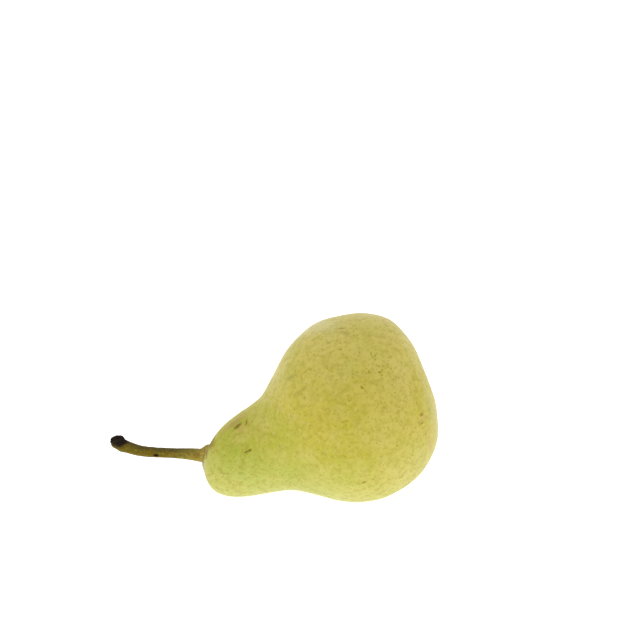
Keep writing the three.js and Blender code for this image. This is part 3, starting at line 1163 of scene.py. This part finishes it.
def skin_material(fruit):
    """Ripe pear skin under its own thin wax: a yellow ground that turns green at the neck, dotted
    with fine olive lenticels, with a soft broad sheen."""
    material, tree, surface, place = new_material(
        "pear_skin_waxy",
        {
            "IOR": 1.45,
            "Specular IOR Level": 0.35,
            "Subsurface Weight": 0.15,
            "Subsurface Radius": (1.0, 0.8, 0.3),
            "Subsurface Scale": 2 * MM,
            "Coat Weight": 0.05,
            "Coat Roughness": 0.35,
        },
    )
    along, outline_share = (
        add_node(
            tree, "ShaderNodeAttribute", attribute_name=name, attribute_type="GEOMETRY"
        ).outputs["Fac"]
        for name in ("along", "outline_share")
    )

    blotch = add_node(
        tree, "ShaderNodeTexNoise", {"Vector": place, "Scale": scale_for(BLOTCH_SIZE), "Detail": 3.0}
    )
    ground = ripe_ground(tree, fruit, place, along, blotch)

    # the pores: many fine ones in green-olive, and a few larger in brown
    fine = lenticel_mask(tree, place, *FINE_LENTICELS)
    pores = [
        (lenticel_mask(tree, place, *HALOS), 0, 1, 0.3, fruit.lenticel),
        (fine, 0, 1, 0.7, fruit.lenticel),
        (lenticel_mask(tree, place, *COARSE_LENTICELS), 0, 1, 0.4, fruit.russet),
    ]
    ground = add_layers(tree, ground, pores)

    # corky russet in the basin and round the stalk, where it spreads over the upper lip; the lip's last
    # mark is painted shade at its edge
    strayed = wandering(tree, place)
    ragged = add_node(
        tree, "ShaderNodeTexNoise", {"Vector": place, "Scale": scale_for(RUSSET_SIZE), "Detail": 4.0}
    )
    # the lip's russet, with painted shade at its edge
    lip_and_shade = mark_mask(tree, strayed, LIPS_AND_SHADE)
    for value, start, full, share, colour in (
        (outline_share, 0.075, 0.03, 0.45, fruit.basin),
        (outline_share, 0.84, 0.97, 0.7, fruit.tan),
        (lip_and_shade, 0.11, 1.0, 0.8, fruit.lip_and_shade),
        (outline_share, 0.965, 1.0, 0.7, fruit.basin),
    ):
        near = add_node(
            tree,
            "ShaderNodeMapRange",
            {"Value": value, "From Min": start, "From Max": full, "To Max": 2 * share},
        )
        patchy = add_node(tree, "ShaderNodeMath", {0: near, 1: ragged}, operation="MULTIPLY")
        ground = add_layers(tree, ground, [(patchy, 0, 1, 1, colour)])

    # what the skin bears: a painted whitish highlight on top of the belly, then blushes, smudges, scars
    # and nicks
    nicks = mark_mask(tree, strayed, NICKS)
    marks = [
        (mark_mask(tree, strayed, PAINTED_HIGHLIGHTS), 0, 1, 0.17, fruit.painted_highlight),
        (mark_mask(tree, strayed, BLUSHES), 0, 1, 0.5, fruit.blush),
        (mark_mask(tree, strayed, SMUDGES), 0, 1, 0.5, fruit.smudge),
        (mark_mask(tree, strayed, SCARS), 0, 1, 0.9, fruit.scar),
        (nicks, 0, 1, 0.9, fruit.nick),
    ]
    ground = add_layers(tree, ground, marks)

    # the wax: a little duller in patches, on the pores and on the lip with its painted shade
    rough = add_node(
        tree,
        "ShaderNodeMapRange",
        {"Value": blotch, "From Min": 0.3, "From Max": 0.7, "To Min": 0.4, "To Max": 0.5},
    )
    for value, dullness in ((fine, 0.21), (lip_and_shade, 0.36)):
        rough = add_node(
            tree, "ShaderNodeMath", {0: value, 1: dullness, 2: rough}, operation="MULTIPLY_ADD"
        )
    tree.links.new(rough.outputs[0], surface.inputs["Roughness"])

    # the relief: finely uneven, with raised pores and sunken nicks
    relief = add_node(
        tree, "ShaderNodeTexNoise", {"Vector": place, "Scale": scale_for(PEEL_SIZE), "Detail": 3.0}
    )
    for value, rise in ((fine, 0.7), (nicks, -0.9)):
        relief = add_node(
            tree, "ShaderNodeMath", {0: value, 1: rise, 2: relief}, operation="MULTIPLY_ADD"
        )
    finish_surface(tree, surface, ground, relief, strength=0.35, depth=0.05)
    return material


def stalk_material(stalk):
    """Woody stalk, grown with fine fibres along it: matt olive-brown bark that is fleshy and greener at
    its foot, darker and greyer on its upper side and nearly black at the dried knob."""
    material, tree, surface, place = new_material(
        "pear_stalk_bark_matt", {"IOR": 1.45, "Roughness": 0.8, "Specular IOR Level": 0.15}
    )
    grain, along, on_bud = (
        add_node(
            tree, "ShaderNodeAttribute", attribute_name=name, attribute_type="GEOMETRY"
        ).outputs[output]
        for name, output in (("grain", "Vector"), ("along", "Fac"), ("bud", "Fac"))
    )
    upwards = add_node(tree, "ShaderNodeSeparateXYZ", {"Vector": grain}).outputs["Y"]
    fibre = add_node(
        tree,
        "ShaderNodeTexNoise",
        {"Vector": grain, "Scale": stalk.radius * scale_for(FIBRE_WIDTH), "Detail": 4.0},
    )
    patch, flecks_and_glints = (
        add_node(tree, "ShaderNodeTexNoise", {"Vector": place, "Scale": scale_for(size), "Detail": 2.0})
        for size in (PATCH_SIZE, FLECK_AND_GLINT_SIZE)
    )

    # edges made ragged by the fibres: along the stalk, round its top, the bud scar and the knob
    ragged_along, ragged_top, ragged_bud = (
        add_node(tree, "ShaderNodeMath", {0: fibre, 1: share, 2: value}, operation="MULTIPLY_ADD")
        for value, share in ((along, 0.08), (upwards, 0.8), (on_bud, 1.2))
    )
    ragged_knob = add_node(
        tree, "ShaderNodeMath", {0: upwards, 1: 0.045, 2: ragged_along}, operation="MULTIPLY_ADD"
    )
    # the stalk is darker grey-brown along its upper side, past its foot
    on_top = add_node(tree, "ShaderNodeMapRange", {"Value": ragged_top, "From Min": 0.7, "From Max": 1.4})
    past_foot = add_node(tree, "ShaderNodeMapRange", {"Value": along, "From Min": 0.15, "From Max": 0.45})
    darker_on_top = add_node(tree, "ShaderNodeMath", {0: on_top, 1: past_foot}, operation="MULTIPLY")
    layers = [
        (ragged_along, 0.24, 0.6, 1, stalk.bark),
        (ragged_along, 0.24, 0.16, 1, stalk.base),
        (patch, 0.52, 0.68, 0.6, stalk.warm),
        (patch, 0.48, 0.32, 0.6, stalk.green),
        (flecks_and_glints, 0.55, 0.7, 0.5, stalk.shaded),
        # pale flecks of the foot's colour: painted small highlights on the bark
        (flecks_and_glints, 0.45, 0.3, 0.35, stalk.foot),
        (darker_on_top, 0, 1, 0.8, stalk.shaded),
        (fibre, 0.55, 0.75, 0.45, stalk.shaded),
        (ragged_bud, 0.9, 1.2, 1, stalk.knob),
        (ragged_knob, 0.945, 0.99, 1, stalk.knob),
    ]
    ground = add_layers(tree, list(stalk.foot), layers)
    finish_surface(tree, surface, ground, fibre, strength=0.7, depth=0.15)
    return material


def calyx_material(calyx):
    """Dried sepals and stamens, shrunk as they withered: matt dark brown, redder where they are thin,
    with pale brittle tips and pale threads, a tan of their own that also stands for painted glints."""
    material, tree, surface, place = new_material(
        "pear_calyx_dried_matt", {"IOR": 1.45, "Roughness": 0.6, "Specular IOR Level": 0.4}
    )
    tip = add_node(
        tree, "ShaderNodeAttribute", attribute_name="tip", attribute_type="GEOMETRY"
    ).outputs["Fac"]
    wither = add_node(
        tree, "ShaderNodeTexNoise", {"Vector": place, "Scale": scale_for(WITHER_SIZE), "Detail": 4.0}
    )
    thin, brittle = (
        add_node(tree, "ShaderNodeMath", {0: tip, 1: weight, 2: wither}, operation="MULTIPLY_ADD")
        for weight in (0.3, 0.75)
    )
    # the tips and threads: their own pale tan, partly painted glints
    layers = [(thin, 0.5, 0.8, 0.8, calyx.warm), (brittle, 0.95, 1.35, 0.85, calyx.tip)]
    ground = add_layers(tree, list(calyx.sepal), layers)
    finish_surface(tree, surface, ground, wither, strength=0.8, depth=0.25)
    return material


# ---------- the stage ----------

FLOOR_SIZE = 6.0  # of the floor's sides, in metres
LIGHT_FROM = (0.0, 0.6, 0.8)  # the way to the brighter half of the sky
LIGHT_BLEND = 0.6  # how far the two halves blend, as a cosine to either side

CAMERA_LENS, SENSOR_WIDTH = 143.41, 36.0  # in millimetres
CAMERA_AIM = Vector((0.0, 0.0, 0.0321))  # the belly's middle, which its own place is measured from
CAMERA_DISTANCE = 0.9  # in metres
CAMERA_CLIP = 0.01  # the nearest that it sees, in metres
CAMERA_ELEVATION = math.radians(22)  # of its place, over the aim
CAMERA_PITCH = math.radians(19.995)  # how far down it looks: less, so the pear lies low in view
CAMERA_YAW = math.radians(0.7303)  # how far it is turned towards the stalk


def lay_floor(stage):
    """Lays a plain sheet of paper that gives some light itself."""
    paper = new_material(
        "floor_paper_lit",
        {
            "Base Color": list(stage.floor),
            "Roughness": 0.9,
            "Specular IOR Level": 0.1,
            "Emission Color": (1, 1, 1, 1),
            "Emission Strength": stage.glow,
        },
    )[0]
    half = FLOOR_SIZE / 2
    mesh = bpy.data.meshes.new("floor")
    corners = [(-half, -half, 0), (half, -half, 0), (half, half, 0), (-half, half, 0)]
    mesh.from_pydata(corners, [], [(0, 1, 2, 3)])
    mesh.materials.append(paper)
    floor = bpy.data.objects.new("floor", mesh)
    bpy.context.scene.collection.objects.link(floor)


def soft_sky(stage):
    """A white sky, brighter above and behind than in front."""
    world = bpy.data.worlds.new("studio")
    world.use_nodes = True
    sky = world.node_tree
    sky.nodes.clear()
    way = add_node(sky, "ShaderNodeTexCoord")
    from_above = add_node(sky, "ShaderNodeVectorMath", {0: way, 1: LIGHT_FROM}, operation="DOT_PRODUCT")
    strength = add_node(
        sky,
        "ShaderNodeMapRange",
        {
            "Value": from_above.outputs["Value"],
            "From Min": -LIGHT_BLEND,
            "From Max": LIGHT_BLEND,
            "To Min": stage.fill,
            "To Max": stage.light,
        },
    )
    soft = add_node(sky, "ShaderNodeBackground", {"Color": (1, 1, 1, 1), "Strength": strength})
    add_node(sky, "ShaderNodeOutputWorld", {"Surface": soft})
    return world


def set_camera():
    """A camera with a long lens, in front and a little above."""
    data = bpy.data.cameras.new("camera")
    data.lens = CAMERA_LENS
    data.sensor_width = SENSOR_WIDTH
    data.clip_start = CAMERA_CLIP
    camera = bpy.data.objects.new("camera", data)
    back = Vector((0, -math.cos(CAMERA_ELEVATION), math.sin(CAMERA_ELEVATION)))
    camera.location = CAMERA_AIM + CAMERA_DISTANCE * back
    camera.rotation_euler = (math.pi / 2 - CAMERA_PITCH, 0, CAMERA_YAW)
    bpy.context.scene.collection.objects.link(camera)
    return camera


# ---------- the operators ----------


class PEAR_OT_fruit(bpy.types.Operator):
    """Grows the fruit's skin round its core line"""

    bl_idname = "pear.fruit"
    bl_label = "Fruit"

    def execute(self, context):
        fruit = context.scene.pear_fruit
        rise = fruit.belly_height / MM
        guides = {
            "Outline": outline_points(fruit_outline(fruit)),
            "Core line": [(x, y, z + rise) for x, y, z in CORE_LINE],
        }
        skin = grow("pear_fruit", fruit_tree(skin_material(fruit)), guides, fruit)
        put_on(skin, "fruit")
        return {"FINISHED"}


class PEAR_OT_stalk(bpy.types.Operator):
    """Grows the stalk from its root in the fruit to its knob"""

    bl_idname = "pear.stalk"
    bl_label = "Stalk"

    def execute(self, context):
        stalk = context.scene.pear_stalk
        guides = {
            "Outline": outline_points(stalk_outline(stalk)),
            "Line": stalk_line(stalk, context.scene.pear_fruit),
        }
        bark = grow("pear_stalk", stalk_tree(stalk_material(stalk)), guides, stalk)
        put_on(bark, "stalk")
        return {"FINISHED"}


class PEAR_OT_calyx(bpy.types.Operator):
    """Grows the dried calyx in the basin of the blossom end"""

    bl_idname = "pear.calyx"
    bl_label = "Calyx"

    def execute(self, context):
        calyx, fruit = context.scene.pear_calyx, context.scene.pear_fruit
        guides = {"Outline": outline_points(cup_outline(calyx))}
        dried = grow("pear_calyx", calyx_tree(calyx_material(calyx)), guides, calyx)
        tip, inner = (Vector(point) * MM + Vector((0, 0, fruit.belly_height)) for point in CORE_LINE[:2])
        floor = tip + (inner - tip).normalized() * fruit.basin_depth
        outwards = -BLOSSOM_FACING.lerp(BELLY_FACING, CUP_TILT).normalized()
        turn = Vector((0, 0, 1)).rotation_difference(outwards).to_matrix().to_4x4()
        dried.data.transform(Matrix.Translation(floor) @ turn)
        put_on(dried, "calyx")
        return {"FINISHED"}


class PEAR_OT_stage(bpy.types.Operator):
    """Lays the floor and sets the light and the camera"""

    bl_idname = "pear.stage"
    bl_label = "Stage"

    def execute(self, context):
        stage = context.scene.pear_stage
        lay_floor(stage)
        context.scene.world = soft_sky(stage)
        context.scene.view_settings.view_transform = "Standard"
        context.scene.camera = set_camera()
        return {"FINISHED"}


class PEAR_PT_tools(bpy.types.Panel):
    """Lists what can be grown"""

    bl_label = "Ripe Pear"
    bl_idname = "PEAR_PT_tools"
    bl_space_type = "VIEW_3D"
    bl_region_type = "UI"
    bl_category = "Pear"

    def draw(self, context):
        for operator in OPERATORS:
            self.layout.operator(operator.bl_idname)


SETTINGS = {
    "pear_fruit": FruitSettings,
    "pear_stalk": StalkSettings,
    "pear_calyx": CalyxSettings,
    "pear_stage": StageSettings,
}
OPERATORS = (PEAR_OT_fruit, PEAR_OT_stalk, PEAR_OT_calyx, PEAR_OT_stage)


def register():
    for name, settings in SETTINGS.items():
        bpy.utils.register_class(settings)
        setattr(bpy.types.Scene, name, bpy.props.PointerProperty(type=settings))
    for operator in OPERATORS:
        bpy.utils.register_class(operator)
    bpy.utils.register_class(PEAR_PT_tools)


def unregister():
    bpy.utils.unregister_class(PEAR_PT_tools)
    for operator in reversed(OPERATORS):
        bpy.utils.unregister_class(operator)
    for name, settings in reversed(SETTINGS.items()):
        delattr(bpy.types.Scene, name)
        bpy.utils.unregister_class(settings)


def main():
    register()
    bpy.ops.pear.fruit()
    bpy.ops.pear.stalk()
    bpy.ops.pear.calyx()
    bpy.ops.pear.stage()


if __name__ == "__main__":
    main()
